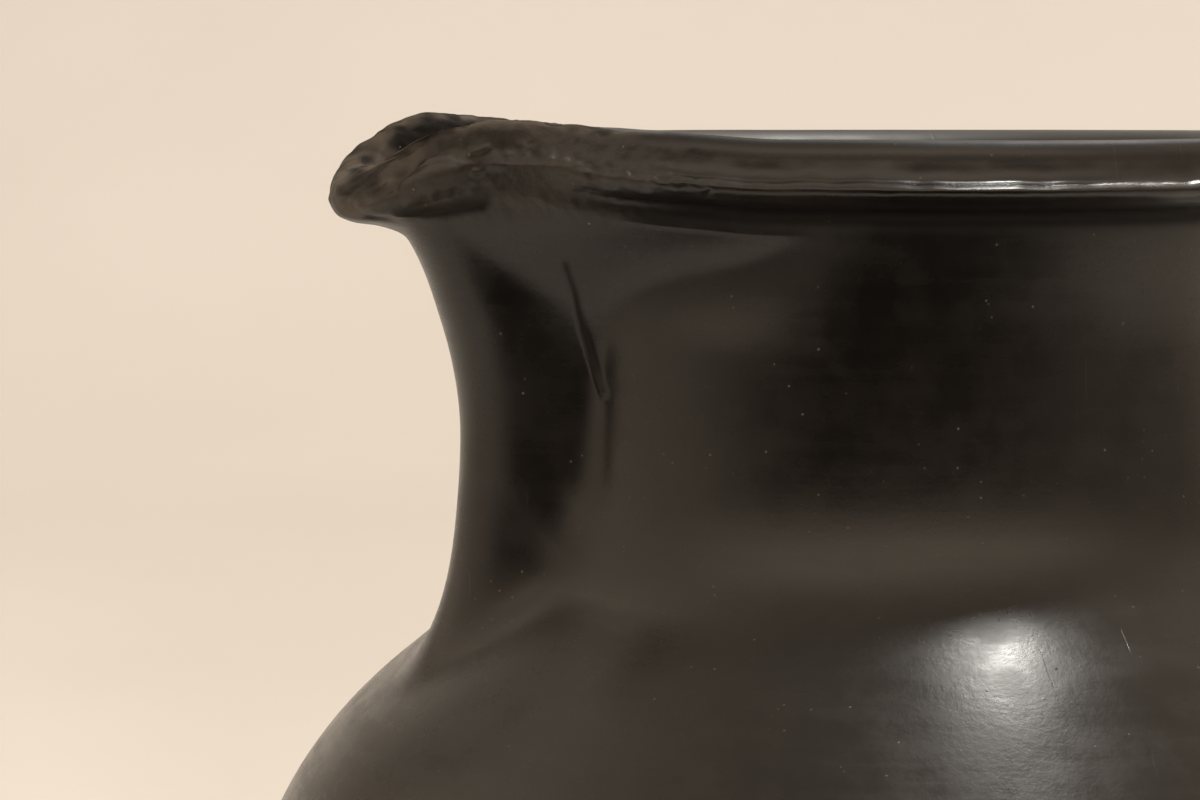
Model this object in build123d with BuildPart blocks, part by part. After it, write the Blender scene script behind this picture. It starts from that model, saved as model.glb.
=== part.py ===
from build123d import *
import os
from math import acos, asin, cos, radians, sin, sqrt

os.makedirs("parts", exist_ok=True)

# Hand-built pitcher of burnished black clay.
# +Z is up and the origin is the middle of the foot, on the axis of the round body.
# The pouring spout points to -X and the handle to +X.  Millimetres throughout.

# ---------------------------------------------------------------- driving dimensions
wall = 5.0                  # clay wall of the body and neck
foot_thickness = 6.0        # flat slab that the jug stands on
lap = 3.0                   # rise of each scarfed coil joint from the outside to the inside

belly_r = 110.0             # widest radius of the body
belly_z = 105.0             # height of the widest line
lower_drop = 115.0          # half height of the ellipse that the lower body follows
upper_rise = 72.0           # half height of the ellipse that the shoulder follows
shoulder_end_r = 83.4       # radius where the shoulder leaves that ellipse

flare_r = 58.9              # middle of the hollow curve from shoulder to neck
flare_z = 171.0
waist_r = 48.5              # narrowest outside radius of the neck
waist_z = 199.0
neck_top_r = 50.0           # neck radius just under the rolled rim
neck_top_z = 221.0

rim_top_z = 235.0
rim_crest_r = 52.0          # radius of the top line of the rim
rim_overhang = 5.5          # crest to the outermost bead of the rim
rim_inset = 7.0             # crest to the inside face of the rim
rim_drop = rim_top_z - neck_top_z

spout_wall = 4.5
spout_floor_z = 167.0       # bottom of the open channel inside the spout
spout_root_x = -36.0        # root line of the spout outlines, inside the neck
spout_top_z = 228.0         # height at which the spout wall ends inside the lip
lip_turn = 50               # degrees from the spout at which the rim leaves its circle

strap_width = 23.0
strap_thickness = 9.0
strap_start_x = 46.0        # inside the neck wall
strap_start_z = 207.0
strap_rise = 35             # degrees above level at which the strap leaves the neck
strap_crest_r = 38.0        # bend over the top of the handle
strap_crest_turn = 95       # degrees
strap_drop_r = 61.0         # longer bend down to the shoulder
strap_drop_turn = 65        # degrees

collar_foot_r = 19.0        # half width of the clay collar where it spreads on the body
collar_foot_rise = 13.0
collar_end_r = 14.0         # half width of the collar where it thins onto the strap
collar_end_rise = 6.4
upper_collar_reach = 0.26   # share of the upper bend that the upper collar covers
lower_collar_reach = 0.34   # share of the lower bend that the lower collar covers

# Heights on the outside skin where one band of clay is luted to the next.
bowl_joint_z = 52.0
belly_joint_z = 96.0
upper_belly_joint_z = 136.0
shoulder_joint_z = 160.0
neck_joint_z = 194.0


# ---------------------------------------------------------------- body walls
def ellipse_point(turn, inset):
    """Point on the body's egg-shaped side line, turn radians above the widest line."""
    half = lower_drop if turn < 0 else upper_rise
    return (belly_r - inset) * cos(turn), belly_z + (half - inset) * sin(turn)


def body_curve(inset, start_z):
    """Side line of the body from start_z up to the top of the neck, moved in by inset."""
    start = asin((start_z - belly_z) / (lower_drop - inset))
    finish = acos(shoulder_end_r / belly_r)
    turns = (start, 0.6 * start, 0.3 * start, 0, 0.5 * finish, finish)
    side = Spline(
        *[ellipse_point(turn, inset) for turn in turns],
        (flare_r - 0.8 * inset, flare_z - 0.6 * inset),
        (waist_r - inset, waist_z),
        (neck_top_r - inset, neck_top_z),
        tangents=[(-belly_r * sin(start), lower_drop * cos(start)), (0.12, 1)],
    )
    return side @ 0, side @ 1


def outer_radius(z):
    """Outside radius of the body at height z, up to the waist of the neck."""
    if z > shoulder_joint_z:
        return waist_r
    half = lower_drop if z < belly_z else upper_rise
    return belly_r * sqrt(1 - ((z - belly_z) / half) ** 2)


with BuildSketch(Plane.XZ) as wall_profile:
    with BuildLine():
        foot_corner, neck_lip = body_curve(0, 0)
        floor_corner, neck_inner = body_curve(wall, foot_thickness)
        Polyline((0, foot_thickness), (0, 0), foot_corner)
        Line(neck_lip, neck_inner)
        Line(floor_corner, (0, foot_thickness))
    make_face()

# Filled body, used only to trim what is luted onto its outside.
with BuildPart() as body_core:
    with BuildSketch(Plane.XZ):
        with BuildLine():
            core_foot, core_top = body_curve(0, 0)
            Polyline(core_top, (0, neck_top_z), (0, 0), core_foot)
        make_face()
    revolve(axis=Axis.Z)


def joint_line(z, rise):
    """Line across the wall at one joint: level outside, climbing by rise through the wall."""
    radius = outer_radius(z)
    return [(0, z + rise), (radius - wall, z + rise), (radius, z), (belly_r + wall, z)]


def ring_sketch(low_z, low_rise, high_z, high_rise):
    """Band of the wall profile between two joints."""
    low_line = joint_line(low_z, low_rise)
    high_line = joint_line(high_z, high_rise)
    with BuildSketch(Plane.XZ) as ring:
        add(wall_profile.sketch)
        with BuildLine():
            Polyline(*low_line, *reversed(high_line), close=True)
        make_face(mode=Mode.INTERSECT)
    return ring.sketch


# ---------------------------------------------------------------- rim and lip outline
def lip_section(point, outward, overhang, inset, drop):
    """Rolled rim section standing upright at point: crest at point, outside along outward."""
    foot_out = neck_top_r - rim_crest_r
    upright = Plane(origin=point, x_dir=(*outward, 0), z_dir=(outward[1], -outward[0], 0))
    with BuildSketch(upright) as section:
        with BuildLine():
            cove_middle = (foot_out + 0.2 * overhang, -0.82 * drop)
            cove = ThreePointArc((foot_out, -drop), cove_middle, (0.45 * overhang, -0.70 * drop))
            bead = ThreePointArc(cove @ 1, (0.95 * overhang, -0.62 * drop), (overhang, -0.46 * drop))
            face = Line(bead @ 1, (0.55 * overhang, -0.10 * drop))
            crown = ThreePointArc(face @ 1, (0, 0), (-0.45 * inset, -0.07 * drop))
            throat = Line(crown @ 1, (-inset, -0.45 * drop))
            Polyline(throat @ 1, (-inset, -drop), cove @ 0)
        make_face()
    return section.sketch


# ---------------------------------------------------------------- spout outlines
# One row for each level of the spout: height, keel distance, nose depth,
# nose half width, root half width.
spout_levels = [
    (150.0, 84.0, 14.0, 14.0, 18.0),
    (172.0, 76.8, 13.0, 13.0, 17.0),
    (190.0, 75.8, 13.0, 13.0, 17.0),
    (208.0, 79.3, 13.0, 13.5, 21.0),
    (220.0, 85.0, 12.0, 12.5, 29.0),
    (spout_top_z, 89.0, 11.0, 11.0, 36.0),
]

# The open channel starts at its floor and is carried on past the lip.
channel_levels = [(spout_floor_z, *spout_levels[1][1:])]
channel_levels += spout_levels[2:]
channel_levels += [(rim_top_z + wall, *spout_levels[-1][1:])]


def spout_section(z, keel, nose, nose_half, root_half, inset):
    """Flat U outline of the spout at one height, moved in by inset."""
    with BuildSketch(Plane.XY.offset(z)) as section:
        with BuildLine():
            near = Line((spout_root_x, inset - root_half), (nose - keel, inset - nose_half))
            tip = ThreePointArc(near @ 1, (inset - keel, 0), (nose - keel, nose_half - inset))
            far = Line(tip @ 1, (spout_root_x, root_half - inset))
            Line(far @ 1, near @ 0)
        make_face()
    return section.sketch


with BuildPart() as spout_outside:
    loft([spout_section(*level, 0) for level in spout_levels])

with BuildPart() as spout_channel:
    loft([spout_section(*level, spout_wall) for level in channel_levels])

# ---------------------------------------------------------------- rim and lips
rim_end_out = (-cos(radians(lip_turn)), -sin(radians(lip_turn)))
rim_end_point = (rim_crest_r * rim_end_out[0], rim_crest_r * rim_end_out[1], rim_top_z)

# Stations along the near lip, from the rim to the turned-down beak:
# crest point, outward direction, overhang, inset, drop.
lip_stations = [
    (rim_end_point, rim_end_out, rim_overhang, rim_inset, rim_drop),
    ((-52.0, -26.5, 236.2), (-0.58, -0.81), 5.0, 5.5, 13.0),
    ((-66.0, -16.5, 238.0), (-0.48, -0.87), 4.0, 4.2, 11.0),
    ((-78.0, -11.5, 236.6), (-0.44, -0.90), 4.3, 4.0, 11.0),
    ((-85.0, -7.5, 233.4), (-0.74, -0.67), 6.0, 4.0, 10.5),
]
beak_half = [
    lip_stations[-1],
    ((-87.8, -3.8, 231.6), (-0.92, -0.39), 7.2, 4.0, 9.8),
    ((-88.5, 0.0, 231.0), (-1.0, 0.0), 7.5, 4.0, 9.5),
]


def mirrored(station):
    """The matching station on the far side of the spout."""
    point, outward, *sizes = station
    return (point[0], -point[1], point[2]), (outward[0], -outward[1]), *sizes


beak_stations = beak_half + [mirrored(station) for station in reversed(beak_half[:-1])]

with BuildPart() as rim_coil:
    add(lip_section(*lip_stations[0]))
    revolve(axis=Axis.Z, revolution_arc=360 - 2 * lip_turn)
rim_coil.part.label = "rim_coil"
export_step(rim_coil.part, "parts/rim_coil.step")

with BuildPart() as spout_lip_near:
    loft([lip_section(*station) for station in lip_stations])
spout_lip_near.part.label = "spout_lip_near"
export_step(spout_lip_near.part, "parts/spout_lip_near.step")

with BuildPart() as spout_lip_far:
    mirror(spout_lip_near.part, about=Plane.XZ)
spout_lip_far.part.label = "spout_lip_far"
export_step(spout_lip_far.part, "parts/spout_lip_far.step")

with BuildPart() as spout_beak:
    loft([lip_section(*station) for station in beak_stations])
spout_beak.part.label = "spout_beak"
export_step(spout_beak.part, "parts/spout_beak.step")

# ---------------------------------------------------------------- foot, body and neck
with BuildPart() as base_disc:
    add(ring_sketch(-foot_thickness, 0, foot_thickness, 0))
    revolve(axis=Axis.Z)
base_disc.part.label = "base_disc"
export_step(base_disc.part, "parts/base_disc.step")

with BuildPart() as lower_bowl:
    add(ring_sketch(foot_thickness, 0, bowl_joint_z, lap))
    revolve(axis=Axis.Z)
lower_bowl.part.label = "lower_bowl"
export_step(lower_bowl.part, "parts/lower_bowl.step")

with BuildPart() as belly_coil_lower:
    add(ring_sketch(bowl_joint_z, lap, belly_joint_z, lap))
    revolve(axis=Axis.Z)
belly_coil_lower.part.label = "belly_coil_lower"
export_step(belly_coil_lower.part, "parts/belly_coil_lower.step")

with BuildPart() as belly_coil_upper:
    add(ring_sketch(belly_joint_z, lap, upper_belly_joint_z, lap))
    revolve(axis=Axis.Z)
belly_coil_upper.part.label = "belly_coil_upper"
export_step(belly_coil_upper.part, "parts/belly_coil_upper.step")

with BuildPart() as shoulder_coil:
    add(ring_sketch(upper_belly_joint_z, lap, shoulder_joint_z, lap))
    revolve(axis=Axis.Z)
shoulder_coil.part.label = "shoulder_coil"
export_step(shoulder_coil.part, "parts/shoulder_coil.step")

with BuildPart() as neck_coil_lower:
    add(ring_sketch(shoulder_joint_z, lap, neck_joint_z, lap))
    revolve(axis=Axis.Z)
    add(spout_channel.part, mode=Mode.SUBTRACT)
neck_coil_lower.part.label = "neck_coil_lower"
export_step(neck_coil_lower.part, "parts/neck_coil_lower.step")

with BuildPart() as neck_coil_upper:
    add(ring_sketch(neck_joint_z, lap, rim_top_z, 0))
    revolve(axis=Axis.Z)
    for neighbour in (spout_channel, spout_lip_near, spout_lip_far):
        add(neighbour.part, mode=Mode.SUBTRACT)
neck_coil_upper.part.label = "neck_coil_upper"
export_step(neck_coil_upper.part, "parts/neck_coil_upper.step")

# ---------------------------------------------------------------- spout wall and its seams
with BuildPart() as spout_trough:
    add(spout_outside.part)
    for neighbour in (spout_channel, body_core, spout_lip_near, spout_lip_far, spout_beak):
        add(neighbour.part, mode=Mode.SUBTRACT)
spout_trough.part.label = "spout_trough"
export_step(spout_trough.part, "parts/spout_trough.step")

# Soft clay pressed into the corner on each side of the spout root:
# height, distance out, half width at the root, half width at the outer edge.
seam_levels = [
    (152.0, 66.0, 24.0, 13.0),
    (172.0, 60.0, 27.0, 13.0),
    (196.0, 57.0, 28.0, 13.5),
    (212.0, 58.0, 33.0, 17.0),
    (226.0, 60.0, 42.0, 21.0),
]


def seam_section(z, out, root_half, edge_half):
    """Outline of both seams at one height, as one shape that the spout then splits."""
    root_x = spout_root_x
    with BuildSketch(Plane.XY.offset(z)) as section:
        with BuildLine():
            Polyline((root_x, -root_half), (-out, -edge_half), (-out, edge_half), (root_x, root_half), close=True)
        make_face()
    return section.sketch


with BuildPart() as seam_pair:
    loft([seam_section(*level) for level in seam_levels])
    for neighbour in (spout_outside, body_core, rim_coil, spout_lip_near, spout_lip_far):
        add(neighbour.part, mode=Mode.SUBTRACT)

with BuildPart() as spout_seam_near:
    add(seam_pair.part)
    split(bisect_by=Plane.XZ, keep=Keep.TOP)
spout_seam_near.part.label = "spout_seam_near"
export_step(spout_seam_near.part, "parts/spout_seam_near.step")

with BuildPart() as spout_seam_far:
    add(seam_pair.part)
    split(bisect_by=Plane.XZ, keep=Keep.BOTTOM)
spout_seam_far.part.label = "spout_seam_far"
export_step(spout_seam_far.part, "parts/spout_seam_far.step")

# ---------------------------------------------------------------- handle
with BuildLine(Plane.XZ) as strap_path:
    strap_heading = (cos(radians(strap_rise)), sin(radians(strap_rise)))
    crest_bend = JernArc((strap_start_x, strap_start_z), strap_heading, strap_crest_r, -strap_crest_turn)
    drop_bend = JernArc(crest_bend @ 1, crest_bend % 1, strap_drop_r, -strap_drop_turn)


def across_strap(bend, where):
    """Plane square to the strap at a place along one of its two bends."""
    return Plane(bend @ where, x_dir=(0, 1, 0), z_dir=bend % where)


with BuildPart() as handle_strap:
    with BuildSketch(across_strap(crest_bend, 0)):
        SlotOverall(strap_width, strap_thickness)
    sweep(path=strap_path.line)
    add(body_core.part, mode=Mode.SUBTRACT)
handle_strap.part.label = "handle_strap"
export_step(handle_strap.part, "parts/handle_strap.step")


def collar(foot_plane, end_plane):
    """Flared collar of clay round one end of the strap."""
    with BuildPart() as flare:
        with BuildSketch(foot_plane):
            Ellipse(collar_foot_r, collar_foot_rise)
        with BuildSketch(end_plane):
            Ellipse(collar_end_r, collar_end_rise)
        loft()
        add(body_core.part, mode=Mode.SUBTRACT)
        add(handle_strap.part, mode=Mode.SUBTRACT)
    return flare.part


with BuildPart() as handle_upper_joint:
    add(collar(across_strap(crest_bend, 0), across_strap(crest_bend, upper_collar_reach)))
handle_upper_joint.part.label = "handle_upper_joint"
export_step(handle_upper_joint.part, "parts/handle_upper_joint.step")

with BuildPart() as handle_lower_joint:
    add(collar(across_strap(drop_bend, 1), across_strap(drop_bend, 1 - lower_collar_reach)))
handle_lower_joint.part.label = "handle_lower_joint"
export_step(handle_lower_joint.part, "parts/handle_lower_joint.step")
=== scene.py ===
import math

import bpy
import numpy as np
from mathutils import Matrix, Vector


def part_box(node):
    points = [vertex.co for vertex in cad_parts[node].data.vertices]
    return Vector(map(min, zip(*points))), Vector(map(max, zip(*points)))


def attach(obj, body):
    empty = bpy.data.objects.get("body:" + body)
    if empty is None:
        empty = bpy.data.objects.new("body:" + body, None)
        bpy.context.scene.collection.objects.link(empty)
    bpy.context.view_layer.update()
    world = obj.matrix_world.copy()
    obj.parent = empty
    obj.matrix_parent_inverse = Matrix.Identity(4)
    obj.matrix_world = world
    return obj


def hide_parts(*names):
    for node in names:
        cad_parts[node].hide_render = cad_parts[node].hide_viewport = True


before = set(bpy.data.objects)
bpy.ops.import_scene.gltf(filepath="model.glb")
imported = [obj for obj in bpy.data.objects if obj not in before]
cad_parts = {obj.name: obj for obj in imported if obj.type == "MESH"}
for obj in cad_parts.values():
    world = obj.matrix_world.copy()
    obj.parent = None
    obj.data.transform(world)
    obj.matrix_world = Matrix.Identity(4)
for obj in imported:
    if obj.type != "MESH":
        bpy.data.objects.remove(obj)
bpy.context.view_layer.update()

# Burnished black clay pitcher.  Shapes are worked out in millimetres in the CAD frame:
# +Z up, the spout towards -X, the handle towards +X.  They are stored in metres.
MM = 0.001


def cad_box(node):
    """Lowest and highest corner of a CAD node in millimetres."""
    low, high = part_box(node)
    return np.array(low) / MM, np.array(high) / MM


belly_high = cad_box("belly_coil_upper")[1]
rim_high = cad_box("rim_coil")[1]
strap_low, strap_high = cad_box("handle_strap")
wall_nodes = [
    "lower_bowl", "belly_coil_lower", "belly_coil_upper", "shoulder_coil", "neck_coil_lower", "neck_coil_upper",
]
joint_heights = [cad_box(node)[0][2] for node in wall_nodes]
floor_z = cad_box("base_disc")[1][2]

wall = 5.0
spout_wall = 4.5
# Rise of each coil joint through the wall.
lap = cad_box("shoulder_coil")[1][2] - cad_box("neck_coil_lower")[0][2]

belly_r = belly_high[0]
belly_z = 105.0
lower_drop = 115.0
upper_rise = 72.0
rim_top = rim_high[2]
rim_overhang = 5.5
crest_r = rim_high[0] - rim_overhang


# ---------------- small tools
def smoothstep(x, start, end):
    """0 before start, 1 after end, with an eased turn between them."""
    t = np.clip((np.asarray(x, float) - start) / (end - start), 0, 1)
    return t * t * (3 - 2 * t)


def smooth_min(a, b, reach):
    """The smaller of two distances, rounded where they are within reach of each other."""
    mix = np.clip(0.5 + 0.5 * (b - a) / reach, 0, 1)
    return b + (a - b) * mix - reach * mix * (1 - mix)


def smooth_max(a, b, reach):
    """The larger of two distances, rounded in the same way."""
    return -smooth_min(-a, -b, reach)


def unit(vectors):
    """Vectors scaled to length 1."""
    return vectors / np.maximum(np.linalg.norm(vectors, axis=-1, keepdims=True), 1e-9)


def hermite(x, knots):
    """Smooth curve through (x, y, slope) knots."""
    xs, ys, slopes = (np.array(column, float) for column in zip(*knots))
    i = np.clip(np.searchsorted(xs, x) - 1, 0, len(xs) - 2)
    width = xs[i + 1] - xs[i]
    t = np.clip((x - xs[i]) / width, 0, 1)
    start = ys[i] + t * t * (3 - 2 * t) * (ys[i + 1] - ys[i])
    return start + width * (t * (1 - t) ** 2 * slopes[i] - t * t * (1 - t) * slopes[i + 1])


def through(x, points):
    """Smooth curve through (x, y) points without overshoot."""
    xs, ys = (np.array(column, float) for column in zip(*points))
    steps = np.diff(ys) / np.diff(xs)
    slopes = np.zeros(len(xs))
    same_way = steps[1:] * steps[:-1] > 0
    slopes[1:-1][same_way] = 2 / (1 / steps[1:][same_way] + 1 / steps[:-1][same_way])
    slopes[0] = steps[0]
    slopes[-1] = steps[-1]
    return hermite(x, list(zip(xs, ys, slopes)))


class Lattice:
    """Smooth random field with values from -1 to 1, the same on every run."""

    size = 32

    def __init__(self, seed):
        self.values = np.random.default_rng(seed).uniform(-1, 1, (self.size,) * 3)

    def __call__(self, points, wavelength):
        cell = points / wavelength
        low = np.floor(cell).astype(int)
        t = cell - low
        t = t * t * (3 - 2 * t)
        total = np.zeros(points.shape[:-1])
        for corner in np.ndindex(2, 2, 2):
            index = [(low[..., k] + corner[k]) % self.size for k in range(3)]
            weight = np.ones(points.shape[:-1])
            for k in range(3):
                weight = weight * (t[..., k] if corner[k] else 1 - t[..., k])
            total += weight * self.values[index[0], index[1], index[2]]
        return total


# ---------------- outline of body and spout
# Hollow curve from shoulder to neck: depth below the rim's top, radius, slope.
neck_knots = [
    (94.0, 95.3, -0.88), (90.0, 91.5, -1.00), (83.0, 83.4, -1.19), (77.0, 76.1, -1.25), (70.5, 67.7, -1.38),
    (64.0, 59.3, -1.00), (55.0, 53.2, -0.42), (45.0, 50.3, -0.22), (30.0, 48.2, 0.0),
    (14.0, crest_r - 2.2, 0.13), (-10.0, crest_r + 1.0, 0.13),
]
neck_curve = [(rim_top - depth, radius, slope) for depth, radius, slope in neck_knots]


def body_radius(z, inset):
    """Outside radius of the round body at height z, moved in by inset."""
    lower = np.sqrt(np.clip(1 - ((z - belly_z) / (lower_drop - inset)) ** 2, 0, 1))
    upper = np.sqrt(np.clip(1 - ((z - belly_z) / (upper_rise - inset)) ** 2, 0, 1))
    round_part = (belly_r - inset) * np.where(z < belly_z, lower, upper)
    shoulder_end = rim_top - 90.0
    shifted = hermite(z + 0.55 * inset * smoothstep(z, rim_top - 20, rim_top - 50), neck_curve)
    neck_part = shifted - inset * (1 - 0.15 * smoothstep(z, rim_top - 50, rim_top - 70))
    blend = smoothstep(z, shoulder_end - 0.8 * inset - 2, shoulder_end - 0.3 * inset + 1)
    return round_part + (neck_part - round_part) * blend


# Spout outline by height: distance of the keel from the axis, radius of its nose, half width at its root.
keel_curve = [
    (150, 84.0), (163, 79.0), (172, 77.2), (190, 75.9), (200, 77.2),
    (208, 79.4), (215, 81.8), (221, 84.8), (231, 88.0),
]
nose_curve = [(150, 13.0), (172, 12.5), (208, 12.5), (220, 11.5), (231, 10.0)]
root_curve = [(150, 15.0), (172, 14.0), (196, 15.0), (208, 20.0), (216, 27.0), (224, 35.0), (231, 43.0)]
# Keel of the open channel inside the spout.
channel_keel = [
    (150, 30.0), (164, 42.0), (168, 52.0), (173, 62.0), (179, 69.0),
    (190, 71.2), (208, 74.8), (221, 80.3), (231, 84.0),
]
root_x = -30.0
# The neck itself is drawn out towards the spout, oval below and wedge-shaped under the lips:
# how far its end is from the axis, and the radius of that end.
wedge_curve = [
    (150, 50.0), (170, 50.0), (185, 46.5), (200, 46.0), (208, 49.0), (216, 57.0), (224, 68.0), (231, 76.0),
]
wedge_end = [(150, 14.0), (200, 13.5), (216, 13.0), (231, 10.5)]


def capsule(x, y, start_x, root_half, keel, nose, pinch=0.0):
    """Distance to a rounded tapering strip from start_x to keel, its straight sides moved in by pinch."""
    length = keel - nose + start_x
    along = start_x - x
    across = np.abs(y)
    lean = (root_half - nose) / length
    level = np.sqrt(np.clip(1 - lean * lean, 0.01, 1))
    k = -lean * across + level * along
    side = level * across + lean * along - root_half + pinch
    at_root = np.hypot(along, across) - root_half
    at_nose = np.hypot(along - length, across) - nose
    return np.where(k < 0, at_root, np.where(k > level * length, at_nose, side))


spout_foot = 142.0      # the spout starts above this height


def outline(x, y, z, inset):
    """Distance outside (+) or inside (-) the plan outline at height z."""
    round_body = np.hypot(x, y) - body_radius(z, inset)
    return np.where(z < spout_foot, round_body, spout_outline(x, y, z, inset))


def spout_outline(x, y, z, inset):
    """The same with the spout, for heights from the shoulder up."""
    radius = body_radius(z, inset)
    root_half, nose = through(z, root_curve), through(z, nose_curve)
    if inset:
        channel = capsule(x, y, root_x, root_half - spout_wall, through(z, channel_keel), nose - spout_wall)
        return smooth_min(np.hypot(x, y) - radius, channel, 6.0)
    strip = capsule(x, y, root_x, root_half, through(z, keel_curve), nose)
    end = through(z, wedge_end)
    drawn_out = through(z, wedge_curve)
    wedge = capsule(x, y, 0.0, radius, np.maximum(drawn_out, radius - end + 0.5) + end, end)
    squeezed_x = np.where(x < 0, x * radius / smooth_max(radius, drawn_out + end, 3.0), x)
    oval = np.hypot(squeezed_x, y) - radius
    drawn_neck = oval + (wedge - oval) * smoothstep(z, 200, 218)
    fillet = 2.6 + 5.5 * smoothstep(z, 206, 222) + 1.8 * smoothstep(z, 202, 190)
    return smooth_min(drawn_neck, strip, fillet)


# ---------------- fan of rays that carries the grid
nose_angle = math.radians(40)     # up to here the rays start inside the nose of the spout
body_angle = math.radians(72)     # beyond here they start on the axis
nose_start = 64.0                 # how far the starting point slides towards the spout


def ray_start(turn, z):
    """How far from the axis, towards the spout, a ray starts."""
    slide = smoothstep(np.abs(turn), body_angle, nose_angle)
    return nose_start * slide * smoothstep(z, 150, 186)


def place(turn, z, reach):
    """Point at a distance reach along a ray; turn 0 is the spout, positive turns are on the -Y side."""
    x = -ray_start(turn, z) - reach * np.cos(turn)
    y = -reach * np.sin(turn)
    return np.stack([x, y, np.broadcast_to(z, x.shape)], axis=-1)


def reach_to_edge(distance, far, halvings):
    """Reach along each ray, up to far, at which distance turns positive."""
    near = np.zeros_like(far)
    for _ in range(halvings):
        middle = (near + far) / 2
        inside = distance(middle) < 0
        near = np.where(inside, middle, near)
        far = np.where(inside, far, middle)
    return (near + far) / 2


def skin_reach(turn, z, inset):
    """Distance along each ray to the wall."""
    turn, z = np.broadcast_arrays(turn, z)

    def distance(reach):
        point = place(turn, z, reach)
        return outline(point[..., 0], point[..., 1], z, inset)

    return reach_to_edge(distance, np.full(turn.shape, belly_r + 20.0), 26)


# Columns of the grid: fine round the lips, coarser round the rest of the body.
nose_turns = np.linspace(0, nose_angle, 61)
slide_turns = np.linspace(nose_angle, body_angle, 211)
body_turns = np.linspace(body_angle, math.pi, 121)
half_turns = np.concatenate([nose_turns, slide_turns[1:], body_turns[1:]])
turns = np.concatenate([half_turns, -half_turns[1:-1][::-1]])
columns = len(turns)
turn = turns[:, None]


# ---------------- line of the crest
beak_centre = 82.0      # distance of the beak's round tip from the axis
beak_r = 9.0
pinch_centre = 64.0     # where the lips are pinched towards each other
rim_level = np.full(columns, rim_top)


def crest_distance(reach):
    """Distance to the top line of rim and lips seen from above."""
    point = place(turns, rim_level, reach)
    pinch = 2.9 * np.exp(-((-point[:, 0] - pinch_centre) / 10.0) ** 2)
    return capsule(point[:, 0], point[:, 1], 0.0, crest_r, beak_centre + beak_r, beak_r, pinch)


crest_reach = reach_to_edge(crest_distance, np.full(columns, belly_r), 30)
crest_xy = place(turns, rim_level, crest_reach)
# Distance along the crest from the tip of the beak, positive on the -Y side.
steps_along = np.linalg.norm(np.diff(crest_xy[: len(half_turns), :2], axis=0), axis=1)
half_arc = np.concatenate([[0.0], np.cumsum(steps_along)])
crest_arc = np.concatenate([half_arc, -half_arc[1:-1][::-1]])

# Height of the crest above the rim by that distance.  The beak was pulled down on its near side.
even_profile = [
    (0, -4.0), (7, -2.2), (14, 0.8), (20, 2.3), (27, 3.0), (34, 2.7), (44, 1.5), (56, 0.7), (68, 0.0), (400, 0.0),
]
pulled_profile = [
    (-400, 0.0), (-70, 0.0), (-58, 0.6), (-50, 1.0), (-42, 1.7), (-33, 2.3), (-28, 2.8), (-24, 3.3), (-18, 3.4),
    (-13, 2.5), (-9.5, 1.3), (-6, -0.6), (-3, -2.7), (0, -4.2), (3, -4.5), (6, -3.8), (9.5, -2.0), (13, -0.2),
    (17, 1.1), (21, 2.0), (25, 2.6), (29, 2.6), (33, 2.3), (38, 1.8), (46, 1.1), (58, 0.6), (70, 0.0), (400, 0.0),
]
even_z = rim_top + through(np.abs(crest_arc), even_profile)
crest_z = rim_top + through(crest_arc, pulled_profile)
edge_depth = 11.0
stretch = (crest_z - even_z + edge_depth) / edge_depth

# Cross sections of the rolled edge, each from the wall up over the bead to the crest
# and down the inside: distance outward from the crest line, height above it.
rim_out = [
    (-2.2, -14.0), (-2.0, -12.4), (-1.8, -11.0), (-0.6, -10.0), (1.8, -9.6), (4.0, -9.0), (5.4, -7.9),
    (5.7, -6.9), (5.0, -6.2), (4.0, -5.6), (3.3, -4.5), (2.8, -3.1), (2.3, -1.6), (1.4, -0.4), (0, 0),
]
rim_in = [(-7.0, -14.0), (-7.0, -10.0), (-6.7, -6.8), (-5.9, -3.8), (-4.3, -1.6), (-2.2, -0.4), (0, 0)]
lip_in = [(-4.6, -12.0), (-4.4, -9.0), (-4.0, -6.0), (-3.4, -3.5), (-2.6, -1.6), (-1.3, -0.5), (0, 0)]
beak_out = [
    (-5.6, -12.6), (-4.4, -11.0), (-1.6, -9.8), (1.6, -9.2), (3.9, -8.0),
    (4.9, -6.0), (4.8, -3.9), (3.8, -2.0), (2.0, -0.5), (0, 0),
]
beak_in = [(-6.6, -11.0), (-5.6, -8.0), (-4.8, -5.4), (-4.0, -3.2), (-2.9, -1.5), (-1.6, -0.4), (0, 0)]
# Swelling of the thin flared lips over the plain wall, by share of the way up to the crest.
flare_swell = [(0, 0), (0.3, 0.1), (0.6, 0.5), (0.85, 1.0), (0.95, 0.7), (1, 0)]
# The same where the thumb pressed a hollow beside the beak.
hollow_swell = [(0, 0), (0.15, 0.3), (0.3, 2.0), (0.42, 1.7), (0.55, -0.2), (0.72, -1.2), (0.9, 0.2), (1, 0)]

from_tip = np.abs(crest_arc)
flare_share = smoothstep(from_tip, 54, 27)[:, None]
hollow_share = smoothstep(from_tip, 24, 14)[:, None]
beak_share = smoothstep(from_tip, 11, 3)[:, None]

edge_rows = 72
up_edge = np.linspace(0, 1, edge_rows + 1)


def dense(section):
    """Smooth curve through the points of one cross section, one row for each step up the edge."""
    points = np.array(section, float)
    controls = np.concatenate([2 * points[:1] - points[1:2], points, 2 * points[-1:] - points[-2:-1]])
    place_on = up_edge * (len(section) - 1)
    i = np.clip(np.floor(place_on).astype(int), 0, len(section) - 2)
    t = (place_on - i)[:, None]
    p0, p1, p2, p3 = (controls[i + k] for k in range(4))
    square, cube = 2 * p0 - 5 * p1 + 4 * p2 - p3, 3 * p1 - p0 - 3 * p2 + p3
    return 0.5 * (2 * p1 + (p2 - p0) * t + square * t**2 + cube * t**3)


def mixed(rim, lip, beak):
    """Rim, lip and beak values at every column, rows along the edge."""
    lips = rim + (lip - rim) * flare_share
    return lips + (beak - lips) * beak_share


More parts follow.
